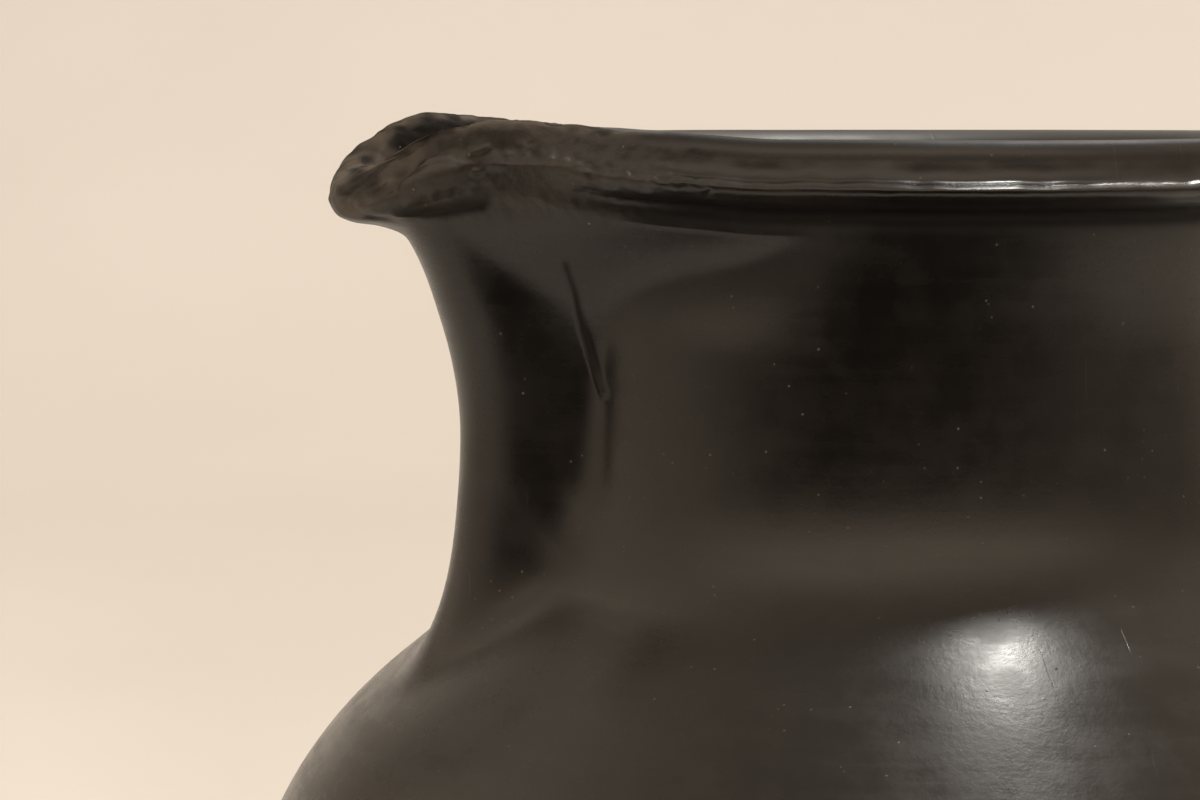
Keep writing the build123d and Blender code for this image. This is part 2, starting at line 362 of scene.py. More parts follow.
# ---------------- rows of the grid
def rows_between(low, high, step):
    """Evenly spaced heights about step apart, without the last."""
    return np.linspace(low, high, max(2, int(round((high - low) / step))) + 1)[:-1]


foot_r = float(body_radius(np.array(0.0), 0))
foot_count = 14
row_steps = [2.4, 2.4, 2.0, 1.4, 1.0]
wall_levels = np.concatenate([
    rows_between(low, high, step) for low, high, step in zip(joint_heights, joint_heights[1:], row_steps)
])
neck_joint = joint_heights[-1]
neck_rows = 40


def row_at(z):
    """Row of the wall nearest to height z."""
    return foot_count + int(np.argmin(np.abs(wall_levels - z)))


joint_rows = [row_at(z) for z in joint_heights[:-1]]
first_neck_row = foot_count + len(wall_levels)
first_edge_row = first_neck_row + neck_rows


def edge_points(out, rise):
    """Points of the rolled edge, from their offsets outward and upward from the crest line."""
    return place(turn, crest_z[:, None] + rise, crest_reach[:, None] + out)


def wall_points(levels, inset):
    """Wall points at a grid of heights (columns, rows)."""
    return place(turn, levels, skin_reach(turn, levels, inset))


def foot_points():
    """Underside of the foot out to its rounded corner and up to the first joint."""
    flat = np.linspace(0, 0.93, 8) * foot_r
    radii = np.concatenate([flat, foot_r - np.array([1.2, 0.35])])
    heights = np.concatenate([np.zeros(len(flat) + 1), [0.15]])
    side = np.linspace(1.4, joint_heights[0], foot_count - len(radii) + 1)[:-1]
    radii = np.concatenate([radii, body_radius(side, 0) - 0.3 * smoothstep(side, 2.5, 0)])
    heights = np.concatenate([heights, side])
    return place(turn, heights, radii)


def level_grid(levels, neck_from, neck_to):
    """Heights of the rows from the foot to the edge: the wall's levels, then evenly up the neck."""
    up_neck = np.linspace(0, 1, neck_rows + 1)[:-1]
    neck = neck_from + (neck_to - neck_from)[:, None] * up_neck
    return np.concatenate([np.broadcast_to(levels, (columns, len(levels))), neck], axis=1)


lip_height = 13.0
rim_curve, beak_curve = dense(rim_out), dense(beak_out)
lip_drop = -lip_height * (1 - up_edge)
outer_rise = mixed(rim_curve[:, 1], lip_drop, beak_curve[:, 1]) * stretch[:, None]
inner_curves = [dense(section) for section in (rim_in, lip_in, beak_in)]
inner_rise = mixed(*(curve[:, 1] for curve in inner_curves)) * stretch[:, None]
inner_out = mixed(*(curve[:, 0] for curve in inner_curves))
inner_top = crest_z + inner_rise[:, 0]
outer_levels = level_grid(wall_levels, neck_joint, crest_z + outer_rise[:, 0])
inner_wall_levels = wall_levels + lap * smoothstep(wall_levels, joint_heights[0], joint_heights[1])
inner_levels = level_grid(inner_wall_levels, neck_joint + lap, inner_top)

# The lips carry the wall on up to the crest; rim and beak start where the wall really is.
edge_z = crest_z[:, None] + outer_rise
wall_out = skin_reach(turn, edge_z, 0) - crest_reach[:, None]
carried_wall = wall_out - wall_out[:, -1:] * smoothstep(up_edge, 0, 1)
swell = through(up_edge, flare_swell) * (1 - hollow_share) + through(up_edge, hollow_swell) * hollow_share
settle = smoothstep(up_edge, 0.45, 0)
rim_side = rim_curve[:, 0] + (wall_out[:, :1] - rim_curve[0, 0]) * settle
beak_side = beak_curve[:, 0] + (wall_out[:, :1] - beak_curve[0, 0]) * settle
outer_out = mixed(rim_side, carried_wall + swell, beak_side)
inner_wall_out = skin_reach(turns, inner_top, wall) - crest_reach
inner_out += (inner_wall_out - inner_out[:, 0])[:, None] * smoothstep(up_edge, 0.7, 0)

outer = np.concatenate(
    [foot_points(), wall_points(outer_levels, 0), edge_points(outer_out, outer_rise)], axis=1)
floor_r = float(body_radius(np.array(floor_z), wall))
floor_points = place(turn, np.full(foot_count, floor_z), np.linspace(0, floor_r, foot_count + 1)[:-1])
inner = np.concatenate(
    [floor_points, wall_points(inner_levels, wall), edge_points(inner_out, inner_rise)], axis=1)
rows = outer.shape[1]


def softened(points):
    """Outside skin of the spout with the marks of its height curves smoothed away."""
    on_spout = smoothstep(np.abs(turn), body_angle + 0.5, body_angle)
    height = points[..., 2]
    share = (on_spout * smoothstep(height, 150, 160) * smoothstep(height, 221, 217))[..., None]
    for _ in range(20):
        average = points.copy()
        average[:, 1:-1] = (points[:, :-2] + 2 * points[:, 1:-1] + points[:, 2:]) / 4
        points = points + share * (average - points)
    return points


outer = softened(outer)


def grid_normals(points, outward):
    """Unit normals of a grid that closes on itself across the columns."""
    across = np.roll(points, -1, axis=0) - np.roll(points, 1, axis=0)
    up = np.gradient(points, axis=1)
    return unit(np.cross(up, across) if outward else np.cross(across, up))


# ---------------- hand marks in the clay
undulation = Lattice(11)
lumps = Lattice(23)
crumbs = Lattice(37)


def bump(points, centre, radius, height):
    """Round swelling (+) or pit (-)."""
    offset = np.linalg.norm(points - np.array(centre), axis=-1)
    return height * np.exp(-((offset / radius) ** 2))


facing_front = np.array([0.0, 1.0, 1.0])    # ignores distance towards the tip of the spout
facing_side = np.array([1.0, 0.0, 1.0])     # ignores distance from the middle plane


def groove(points, line, width, height, facing=1.0):
    """Groove (-) or ridge (+) along a line of points, as seen along the axis that facing leaves out."""
    points = points * facing
    line = [np.array(point) * facing for point in line]
    best = np.full(points.shape[:-1], np.inf)
    for start, end in zip(line[:-1], line[1:]):
        along = end - start
        share = np.clip(((points - start) @ along) / (along @ along), 0, 1)
        offset = np.linalg.norm(points - start - share[..., None] * along, axis=-1)
        best = np.minimum(best, offset)
    return height * np.exp(-((best / width) ** 2))


def below_rim(x, y, depth):
    """Point at a depth below the top of the rim."""
    return (x, y, rim_top - depth)


def marked_line(*places):
    """Line of points on the clay, each given by x, y and its depth below the top of the rim."""
    return [below_rim(*place_on_clay) for place_on_clay in places]


crease_line = marked_line(
    (-62.6, -15.2, 19.0), (-61.0, -14.8, 23.0), (-59.5, -13.9, 29.0), (-57.7, -13.6, 34.5), (-56.6, -13.6, 38.5))
crease_pits = marked_line((-58.0, -15.2, 24.8), (-56.1, -14.7, 28.3), (-57.2, -15.0, 26.6), (-58.8, -15.6, 22.9))
fold_line = marked_line((-86.5, -9.5, 11.6), (-80.0, -11.0, 11.0), (-75.0, -12.6, 9.8))
front_ridge = marked_line((-86.3, -10.0, 1.6), (-89.3, -8.0, 4.7), (-92.0, -6.0, 8.0), (-92.9, -4.0, 11.3))
thumb_line = marked_line((-88.0, -9.0, 8.2), (-84.0, -11.0, 5.6), (-80.0, -13.0, 4.0))
crumble_line = marked_line((-72, -17, 1.0), (-64, -22, 3.0), (-54, -31.5, 5.4), (-46, -37, 7.2))
wrinkles = [
    marked_line((-80, -14, 3.4), (-74, -15.5, 1.6)),
    marked_line((-76, -15, 5.2), (-69, -16.3, 2.4)),
    marked_line((-72, -16, 6.8), (-66, -19.0, 3.4)),
    marked_line((-68, -17.5, 8.2), (-61, -22.5, 5.2)),
]


def towards_spout(points, start, end):
    """0 nearer the axis than start, 1 further out towards the spout than end."""
    return smoothstep(-points[..., 0], start, end)


def on_near_side(points):
    return smoothstep(-points[..., 1], 5, 8)


def depth_below_crest(points):
    """Depth of each grid point below the crest of its own column."""
    return crest_z[:, None] - points[..., 2]


def unburnished_and_shade(points, outside):
    """How far the stone skipped the clay, and where shade is painted: 1 in the crease, the fold and down inside, 0
    on the open skin.
    """
    below_crest = depth_below_crest(points)
    in_spout = towards_spout(points, 45, 60)
    if not outside:
        return np.maximum(smoothstep(below_crest, 3.0, 9.0), 0.5 + 0.5 * in_spout)
    skipped_and_shaded = groove(points, crease_line, 0.5, 0.6, facing_side) + groove(points, fold_line, 1.2, 0.8, facing_side)
    skipped_and_shaded *= on_near_side(points) * smoothstep(rim_top - points[..., 2], 42, 37)
    skipped_and_shaded += groove(points, crumble_line, 1.2, 0.6) * smoothstep(crumbs(points, 2.0), -0.2, 0.5)
    skipped_and_shaded += 0.8 * smoothstep(below_crest, 1.8, 0.2)
    # Painted shade under the rolled rim, in the corner that the stone also does not reach.
    skipped_and_shaded += 0.9 * (1 - in_spout) * np.exp(-(((below_crest - 11.0) / 1.8) ** 2))
    return np.clip(skipped_and_shaded, 0, 1)


def worn(points):
    """How far handling has rubbed the clay pale: the edges of the lips and the ridge down the beak."""
    below_crest = depth_below_crest(points)
    edge = towards_spout(points, 50, 62) * smoothstep(below_crest, 1.6, 0.3)
    ridge = towards_spout(points, 80, 85) * groove(points, front_ridge, 1.3, 1.0, facing_front)
    front = towards_spout(points, 82, 88) * smoothstep(points[..., 1], -7, -4) * smoothstep(below_crest, 12, 9)
    return np.clip(edge + ridge + 0.7 * front, 0, 1) * smoothstep(crumbs(points, 2.2), -0.6, 0.4)


def hand_marks(points, outside):
    """Height of the marks left by building and pinching, in millimetres along the normal."""
    height = points[..., 2]
    marks = 0.30 * undulation(points, 60.0) + 0.06 * undulation(points + 7.0, 22.0)
    marks += 0.015 * undulation(points + 3.0, 6.0)
    near_tip = towards_spout(points, 40, 62)
    pinches = 0.30 * lumps(points, 6.5) + 0.18 * lumps(points + 5.0, 2.6) + 0.13 * lumps(points + 9.0, 1.1)
    marks += near_tip * smoothstep(height, rim_top - 14, rim_top - 9) * pinches
    if not outside:
        return marks
    band = smoothstep(height, rim_top - 10.5, rim_top - 7.5) * smoothstep(height, rim_top - 2.5, rim_top - 5.0)
    marks += band * (1 - near_tip) * (0.16 * lumps(points + 2.0, 5.5) + 0.07 * lumps(points + 4.0, 2.2))
    near_side = on_near_side(points)
    # The lower edge of the rim band breaks up into crumbs where it runs out along the near lip.
    near_line = near_side * groove(points, crumble_line, 1.3, 1.0, facing_side)
    marks += near_line * (0.28 * crumbs(points, 1.6) + 0.18 * crumbs(points + 6.0, 0.8))
    # Crease where the spout wall was folded against the neck, with small pits beside it.
    depth = rim_top - height
    fades = smoothstep(depth, 18, 30) * smoothstep(depth, 41, 37)
    marks += near_side * fades * groove(points, crease_line, 0.38, -0.75, facing_side)
    for pit in crease_pits:
        marks += bump(points, pit, 0.5, -0.35)
    marks += bump(points, below_rim(-75.1, -13.5, 73.6), 0.9, -0.6)
    marks += bump(points, below_rim(-75.3, -13.3, 7.8), 1.0, -0.7)
    # The near ridge runs on down the front of the beak, with the thumb hollow behind it.
    marks += towards_spout(points, 80, 85) * groove(points, front_ridge, 1.1, 1.7, facing_front)
    marks += near_side * groove(points, thumb_line, 2.8, -1.6, facing_side)
    # Deep dark line under the fold below the thumb hollow.
    marks += near_side * groove(points, fold_line, 0.8, -1.0, facing_side)
    # Pinch wrinkles that fan out from the hollow.
    for wrinkle in wrinkles:
        marks += groove(points, wrinkle, 0.55, -0.45)
    # Striations drawn down over the front of the beak.
    front = towards_spout(points, 84, 88) * smoothstep(height, rim_top - 14, rim_top - 10)
    streaks = np.sin(points[..., 1] * 4.2 + 2.0 * lumps(points, 5.0))
    marks += front * 0.10 * streaks * (0.6 + 0.4 * lumps(points + 8.0, 3.0))
    return marks


def marked(points, outward):
    """Grid moved along its normals by the hand marks, but flat on the foot and the floor inside."""
    flat_z, free_z = (0.3, 4.0) if outward else (floor_z, floor_z + 4.0)
    marks = hand_marks(points, outward) * smoothstep(points[..., 2], flat_z, free_z)
    return points + grid_normals(points, outward) * marks[..., None]


skin_values = {
    "unburnished_and_shade": (unburnished_and_shade(outer, True), unburnished_and_shade(inner, False)),
    "worn": (worn(outer), worn(inner)),
}
outer = marked(outer, True)
inner = marked(inner, False)
# Both skins share the crest line.
inner[:, -1] = outer[:, -1] = (outer[:, -1] + inner[:, -1]) / 2
outer_normals = grid_normals(outer, True)
inner_normals = grid_normals(inner, False)
outer_normals[:, -1] = inner_normals[:, -1] = unit(outer_normals[:, -1] + inner_normals[:, -1])
outer_normals[:, 0] = (0, 0, -1)
inner_normals[:, 0] = (0, 0, 1)


# ---------------- pieces cut from the grid
def add_object(name, data):
    new = bpy.data.objects.new(name, data)
    bpy.context.scene.collection.objects.link(new)
    return new


def add_mesh(name, points, faces, corner_normals=None):
    """Smooth mesh object from points in metres and, if given, one normal for each face corner."""
    mesh = bpy.data.meshes.new(name)
    mesh.from_pydata(points, [], faces)
    mesh.polygons.foreach_set("use_smooth", [True] * len(mesh.polygons))
    if corner_normals is not None:
        mesh.normals_split_custom_set(corner_normals)
    mesh.update()
    return add_object(name, mesh)


all_points = np.concatenate([outer.reshape(-1, 3), inner.reshape(-1, 3)])
all_normals = np.concatenate([outer_normals.reshape(-1, 3), inner_normals.reshape(-1, 3)])
# Number of each point by skin (0 outside, 1 inside), column and row: one point in the middle of the foot and of
# the floor, and the crest line shared.
index = np.arange(len(all_points)).reshape(2, columns, rows)
index[:, :, 0] = index[:, :1, 0]
index[1, :, -1] = index[0, :, -1]


def cell_faces(cells, *corners):
    """One face for each marked cell; a corner is its skin and its steps across and up from the cell's place."""
    u, v = np.nonzero(cells)
    return np.stack([index[skin, (u + across) % columns, v + up] for skin, across, up in corners], axis=1)


def clay_piece(name, cells, node):
    """Closed piece of the wall from a mask of grid cells: both skins and the joint faces between them."""
    skins = [
        cell_faces(cells, (0, 0, 0), (0, 0, 1), (0, 1, 1), (0, 1, 0)),
        cell_faces(cells, (1, 0, 0), (1, 1, 0), (1, 1, 1), (1, 0, 1)),
    ]
    skin_count = len(skins[0]) + len(skins[1])
    stacked = np.pad(cells, ((0, 0), (1, 1)), constant_values=True)
    joints = [
        cell_faces(cells & ~neighbour, (0, *start), (0, *end), (1, *end), (1, *start))
        for neighbour, start, end in (
            (stacked[:, :-2], (0, 0), (1, 0)),
            (stacked[:, 2:], (1, 1), (0, 1)),
            (np.roll(cells, 1, axis=0), (0, 1), (0, 0)),
            (np.roll(cells, -1, axis=0), (1, 0), (1, 1)),
        )
    ]
    quads = np.concatenate(skins + joints)
    used, compact = np.unique(quads, return_inverse=True)
    compact = compact.reshape(quads.shape)
    faces, corners = [], []
    for number, (quad, small) in enumerate(zip(quads.tolist(), compact.tolist())):
        keep = [k for k in range(4) if quad[k] != quad[k - 1]]
        if len(keep) < 3:
            continue
        faces.append([small[k] for k in keep])
        if number < skin_count:
            corners.extend(all_normals[quad[k]] for k in keep)
        else:
            a, b, c = (all_points[quad[k]] for k in keep[:3])
            corners.extend([unit(np.cross(b - a, c - a))] * len(keep))
    piece = add_mesh(name, (all_points[used] * MM).tolist(), faces, corners)
    for kind, (outside, inside) in skin_values.items():
        values = np.concatenate([outside.reshape(-1), inside.reshape(-1)])[used]
        piece.data.attributes.new(kind, "FLOAT", "POINT").data.foreach_set("value", values.astype(np.float32))
    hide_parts(node)
    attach(piece, "root")
    return piece


def cell_rows(first, last):
    """Mask of whole rows of cells."""
    cells = np.zeros((columns, rows - 1), bool)
    cells[:, first:last] = True
    return cells


column_turn = np.abs((turns + np.roll(turns, -1)) / 2)
column_turn[len(half_turns) - 1] = math.pi
column_near = np.arange(columns) < len(half_turns) - 1
# Where the lips leave the circle of the rim.
lip_end_x = -crest_r * math.cos(math.radians(50))
lip_end_arc = abs(crest_arc[np.argmin(np.abs(crest_xy[: len(half_turns), 0] - lip_end_x))])
cell_arc = np.abs((crest_arc + np.roll(crest_arc, -1)) / 2)
cell_arc[len(half_turns) - 1] = half_arc[-1]
beak_end_arc = 7.5
seam_start_turn = math.radians(53)
seam_end_turn = math.radians(64)

on_beak = cell_arc < beak_end_arc
on_lip = (cell_arc >= beak_end_arc) & (cell_arc < lip_end_arc)
on_trough = column_turn < seam_start_turn
on_seam = (column_turn >= seam_start_turn) & (column_turn < seam_end_turn)
trough_bottom = 152.0

spout_rows = cell_rows(row_at(trough_bottom), first_edge_row)
trough_cells = spout_rows & on_trough[:, None]
seam_cells = spout_rows & on_seam[:, None]
spout_cells = trough_cells | seam_cells
edge_cells = cell_rows(first_edge_row, rows - 1)

ring_names = ["base_disc", "lower_bowl", "belly_lower", "belly_upper", "shoulder", "neck_lower", "neck_upper"]
ring_rows = [0, *joint_rows, first_neck_row, first_edge_row]
layout = {
    f"clay_{name}": (cell_rows(low, high) & ~spout_cells, node)
    for name, node, low, high in zip(ring_names, ["base_disc", *wall_nodes], ring_rows, ring_rows[1:])
}
layout.update({
    "clay_rim": (edge_cells & ~(on_beak | on_lip)[:, None], "rim_coil"),
    "clay_spout_trough": (trough_cells, "spout_trough"),
    "clay_seam_near": (seam_cells & column_near[:, None], "spout_seam_near"),
    "clay_seam_far": (seam_cells & ~column_near[:, None], "spout_seam_far"),
    "clay_lip_near": (edge_cells & (on_lip & column_near)[:, None], "spout_lip_near"),
    "clay_lip_far": (edge_cells & (on_lip & ~column_near)[:, None], "spout_lip_far"),
    "clay_beak": (edge_cells & on_beak[:, None], "spout_beak"),
})
pieces = {name: clay_piece(name, cells, node) for name, (cells, node) in layout.items()}


# ---------------- handle
strap_half_width = (strap_high[1] - strap_low[1]) / 2
strap_half_thickness = 4.5
crest_bend_r = 38.0
drop_bend_r = 61.0
crest_centre = np.array([67.8, 0, strap_high[2] - strap_half_thickness - crest_bend_r])
drop_centre = np.array([strap_high[0] - strap_half_thickness - drop_bend_r, 0, 164.4])
crest_from, crest_to, drop_to = (math.radians(angle) for angle in (136, 30, -40))
strap_rings = 180
strap_sides = 72


def strap_frames():
    """From the neck to the shoulder: distance along the strap, its middle line, and the way out from its bends."""
    crest_length = crest_bend_r * (crest_from - crest_to)
    drop_length = drop_bend_r * (crest_to - drop_to)
    along = np.linspace(0, crest_length + drop_length, strap_rings)
    on_crest = along < crest_length
    past_crest = along - crest_length
    angle = np.where(on_crest, crest_from - along / crest_bend_r, crest_to - past_crest / drop_bend_r)
    radius = np.where(on_crest, crest_bend_r, drop_bend_r)[:, None]
    centre = np.where(on_crest[:, None], crest_centre, drop_centre)
    out = np.stack([np.cos(angle), np.zeros_like(angle), np.sin(angle)], axis=1)
    return along, centre + radius * out, out


strap_along, strap_middle, strap_out = strap_frames()
side_way = np.array([0.0, 1.0, 0.0])
around = np.linspace(0, 2 * math.pi, strap_sides, endpoint=False)


def strap_surface():
    """Points of the strap: a flattened oval, dished a little along its back, (rings, sides, 3)."""
    across = np.sign(np.cos(around)) * np.abs(np.cos(around)) ** 0.72
    through_way = np.sign(np.sin(around)) * np.abs(np.sin(around)) ** 0.85
    dish = 0.8 * np.exp(-((across / 0.45) ** 2)) * (through_way > 0) * through_way
    swell = 1 + 0.05 * np.sin(strap_along / 19.0 + 0.6)[:, None]
    width = strap_half_width * 0.97 * across[None, :] * swell
    depth = (strap_half_thickness * through_way - dish)[None, :] * (2 - swell)
    sideways, outwards = width[..., None] * side_way, depth[..., None] * strap_out[:, None, :]
    points = strap_middle[:, None, :] + sideways + outwards
    away = unit(sideways / strap_half_width**2 + outwards / strap_half_thickness**2)
    marks = 0.28 * undulation(points + 31.0, 24.0) + 0.12 * lumps(points + 12.0, 8.0) + 0.04 * lumps(points, 3.0)
    return points + away * marks[..., None]


strap = strap_surface()


def axis_distance(points):
    return np.hypot(points[..., 0], points[..., 1])


def spread_out(points, factor):
    """Points with their distance from the axis scaled by factor."""
    return points * np.stack([factor, factor, np.ones_like(factor)], axis=1)


sink = axis_distance(strap) - body_radius(np.clip(strap[..., 2], 0, rim_top), 0)


def tube_faces(ring_count):
    """Faces between rings of the strap's sides, from one ring to the next."""
    faces = []
    for first in range(0, (ring_count - 1) * strap_sides, strap_sides):
        for j in range(strap_sides):
            k = (j + 1) % strap_sides
            faces.append([first + j, first + k, first + strap_sides + k, first + strap_sides + j])
    return faces


middle_sink = axis_distance(strap_middle) - body_radius(strap_middle[:, 2], 0)
end_depth = 2.5     # how far the strap's ends reach into the body
in_sight = np.nonzero(middle_sink > -end_depth)[0]
kept = strap[in_sight[0]: in_sight[-1] + 1]
ring = list(range(strap_sides))
caps = [ring[::-1], [(len(kept) - 1) * strap_sides + j for j in ring]]
handle = add_mesh("clay_handle_strap", (kept.reshape(-1, 3) * MM).tolist(), tube_faces(len(kept)) + caps)
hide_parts("handle_strap")
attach(handle, "root")
pieces["clay_handle_strap"] = handle


foot_sink = 0.45        # depth of a collar's thin edge in the body


def collar(name, node, rings_inward, climb, spread):
    """Flare of clay that runs from the strap out onto the body, feathered at both edges."""
    order = strap[rings_inward]
    steps = np.argmax(sink[rings_inward] < 0, axis=0)
    if np.any(steps == 0):
        raise ValueError(f"{name}: a side of the strap never enters the body")
    sides = np.arange(strap_sides)
    # Where each side of the strap meets the body.
    corner = order[steps, sides]
    step_length = strap_along[1] - strap_along[0]
    uneven = 1 + 0.16 * np.sin(2 * around + 0.7) + 0.10 * np.sin(3 * around + 2.0)
    up = np.clip(steps - np.round(climb * uneven / step_length).astype(int), 0, None)
    top = order[up, sides]
    radial = unit(corner * (1, 1, 0))
    slope = (body_radius(corner[:, 2] + 1, 0) - body_radius(corner[:, 2] - 1, 0)) / 2
    normal = unit(radial - slope[:, None] * np.array([0, 0, 1.0]))
    outward = corner - corner.mean(axis=0)
    outward = unit(outward - (outward * normal).sum(axis=1, keepdims=True) * normal)
    foot = corner + outward * (spread * uneven)[:, None]
    foot = spread_out(foot, body_radius(foot[:, 2], 0) / axis_distance(foot))
    strap_inside = unit(strap_middle[rings_inward][up] - top)
    top_edge = top + 0.35 * strap_inside
    foot_edge = foot - foot_sink * normal
    bend = corner + 0.8 * outward + 0.8 * normal
    path = []
    for t in np.linspace(0, 1, 22):
        point = (1 - t) ** 2 * top_edge + 2 * t * (1 - t) * bend + t**2 * foot_edge
        # The sheet follows the curved body instead of cutting into it.
        surface = body_radius(point[:, 2], 0) - foot_sink
        point = spread_out(point, np.maximum(surface / axis_distance(point), 1))
        marks = 0.35 * lumps(point + 40.0, 7.0) * math.sin(math.pi * t)
        path.append(point + marks[:, None] * (normal + outward) / 2)
    # A last ring hidden in the corner closes the sheet into a solid collar.
    path.append(corner - 1.6 * normal + 1.2 * strap_inside)
    last = (len(path) - 1) * strap_sides
    faces = tube_faces(len(path))
    faces += [[last + j, last + (j + 1) % strap_sides, (j + 1) % strap_sides, j] for j in range(strap_sides)]
    piece = add_mesh(name, (np.concatenate(path) * MM).tolist(), faces)
    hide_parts(node)
    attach(piece, "root")
    pieces[name] = piece


half_way = strap_rings // 2
collar("clay_handle_upper_joint", "handle_upper_joint", np.arange(half_way, -1, -1), 9.0, 7.0)
collar("clay_handle_lower_joint", "handle_lower_joint", np.arange(half_way, strap_rings), 11.0, 7.5)


# ---------------- materials
class Nodes:
    """Short way to build a node tree."""

    def __init__(self, tree):
        self.tree = tree
        tree.nodes.clear()

    def add(self, kind, settings=None, inputs=None):
        """Shader node; an input is a socket to link or a fixed value, and colours have no alpha."""
        node = self.tree.nodes.new("ShaderNode" + kind)
        for key, value in (settings or {}).items():
            setattr(node, key, value)
        for key, value in (inputs or {}).items():
            socket = node.inputs[key]
            if isinstance(value, bpy.types.NodeSocket):
                self.tree.links.new(value, socket)
            else:
                socket.default_value = (*value, 1.0) if socket.type == "RGBA" else value
        return node

    def noise(self, vector, scale, detail=3.0, roughness=0.55):
        inputs = {"Vector": vector, "Scale": scale, "Detail": detail, "Roughness": roughness}
        return self.add("TexNoise", None, inputs).outputs["Fac"]

    def stretched(self, vector, scale, turn=(0, 0, 0)):
        return self.add("Mapping", None, {"Vector": vector, "Scale": scale, "Rotation": turn}).outputs["Vector"]

    def math(self, operation, a, b, clamp=False):
        return self.add("Math", {"operation": operation, "use_clamp": clamp}, {0: a, 1: b}).outputs[0]

    def times(self, a, b):
        return self.math("MULTIPLY", a, b)

    def total(self, first, *others):
        for other in others:
            first = self.math("ADD", first, other)
        return first

    def remap(self, value, low, high, to_low=0.0, to_high=1.0):
        """Eased change from to_low to to_high while value goes from low to high."""
        inputs = {"Value": value, "From Min": low, "From Max": high, "To Min": to_low, "To Max": to_high}
        return self.add("MapRange", {"interpolation_type": "SMOOTHSTEP"}, inputs).outputs["Result"]

    def mix(self, factor, a, b):
        """Colour between a and b; sockets 6 and 7, and 2 going out, are the node's colour sockets."""
        return self.add("Mix", {"data_type": "RGBA"}, {0: factor, 6: a, 7: b}).outputs[2]

    def bump(self, height, distance, strength, below=None):
        inputs = {"Height": height, "Distance": distance, "Strength": strength}
        if below is not None:
            inputs["Normal"] = below
        return self.add("Bump", None, inputs).outputs["Normal"]

    def along(self, parts, direction):
        """How far a vector, given as its parts, points along a level direction."""
        return self.total(self.times(parts["X"], direction.x), self.times(parts["Y"], direction.y))


def new_material(name):
    material = bpy.data.materials.new(name)
    material.use_nodes = True
    return material, Nodes(material.node_tree)


def close_shader(n, inputs):
    """Principled surface with these inputs as the material's output."""
    shader = n.add("BsdfPrincipled", None, inputs)
    n.add("OutputMaterial", None, {"Surface": shader.outputs["BSDF"]})


worn_colour = (0.085, 0.068, 0.052)
speck_colour = (0.30, 0.26, 0.21)
scratch_colour = (0.16, 0.14, 0.12)


def clay_material(name, dark, light, gloss, grain, dust):
    """Smoke-fired clay.  Each of dark, light (colours), gloss (smooth and rough roughness), grain (depth of the
    fine texture in metres) and dust (strength of pale specks) is a pair: burnished body, pinched lips."""
    material, n = new_material(name)
    spot = n.add("TexCoord").outputs["Object"]
    cloud = n.noise(spot, 22.0, 4.0)
    mottle = n.noise(spot, 130.0, 5.0, 0.6)
    fine = n.noise(spot, 950.0, 3.0, 0.6)
    grit = n.noise(spot, 2600.0, 2.0)
    strokes = n.noise(n.stretched(spot, (30.0, 30.0, 420.0)), 1.0, 3.0)
    leaning = n.noise(n.stretched(spot, (70.0, 70.0, 900.0), (0.35, 0.2, 0.0)), 1.0, 2.0)
    scratch_field = n.noise(n.stretched(spot, (1500.0, 60.0, 60.0), (0.0, 0.9, 0.5)), 1.0, 1.0)
    scratch = n.times(n.remap(scratch_field, 0.755, 0.80), n.remap(cloud, 0.45, 0.6))
    speck_field = n.add("TexVoronoi", None, {"Vector": spot, "Scale": 520.0}).outputs["Distance"]
    speck = n.times(n.remap(speck_field, 0.13, 0.06), n.remap(mottle, 0.50, 0.62))
    tone = n.total(n.remap(cloud, 0.35, 0.68, to_high=0.55), n.remap(mottle, 0.35, 0.70, to_high=0.45))
    parts = n.add("SeparateXYZ", None, {"Vector": spot}).outputs
    on_edge = n.remap(parts["Z"], (rim_top - 16) * MM, (rim_top - 9) * MM)
    pinched_share = n.times(n.remap(parts["X"], -0.044, -0.066), on_edge)

    def by_place(burnished_value, pinched_value):
        return n.remap(pinched_share, 0.0, 1.0, burnished_value, pinched_value)

    speckled = by_place(*dust)
    colour = n.mix(pinched_share, n.mix(tone, dark[0], light[0]), n.mix(tone, dark[1], light[1]))
    # Painted shade: the colour turns dark in the crease, the fold, under the rim and down inside, where the same
    # mask also leaves the clay rough.
    skipped_and_shaded = n.add("Attribute", {"attribute_name": "unburnished_and_shade"}).outputs["Fac"]
    colour = n.mix(n.times(skipped_and_shaded, 0.6), colour, dark[0])
    rubbed = n.add("Attribute", {"attribute_name": "worn"}).outputs["Fac"]
    colour = n.mix(n.times(rubbed, 0.7), colour, worn_colour)
    colour = n.mix(n.times(speck, speckled), colour, speck_colour)
    colour = n.mix(n.times(n.times(scratch, speckled), 0.35), colour, scratch_colour)
    wear = n.total(
        n.remap(mottle, 0.30, 0.72, to_high=0.45),
        n.remap(strokes, 0.30, 0.70, to_high=0.35),
        n.remap(cloud, 0.30, 0.70, to_high=0.20),
    )
    (smooth, rough), (pinched_smooth, pinched_rough) = gloss
    roughness = n.remap(wear, 0.0, 1.0, by_place(smooth, pinched_smooth), by_place(rough, pinched_rough))
    roughness = n.total(roughness, n.times(speck, 0.25))
    roughness = n.math("ADD", roughness, n.times(skipped_and_shaded, 0.45), True)
    shine = n.remap(skipped_and_shaded, 0.0, 1.0, 0.5, 0.2)
    coarse = by_place(*grain)
    normal = n.bump(strokes, 0.000015, 0.6)
    normal = n.bump(leaning, 0.000012, 0.5, normal)
    normal = n.bump(mottle, 0.00003, 0.6, normal)
    normal = n.bump(fine, coarse, 0.8, normal)
    normal = n.bump(grit, n.times(coarse, 0.4), 0.6, normal)
    normal = n.bump(n.math("SUBTRACT", speck, scratch), 0.00003, 0.8, normal)
    close_shader(n, {
        "Base Color": colour, "Roughness": roughness, "Specular IOR Level": shine, "IOR": 1.52, "Normal": normal,
    })
    return material


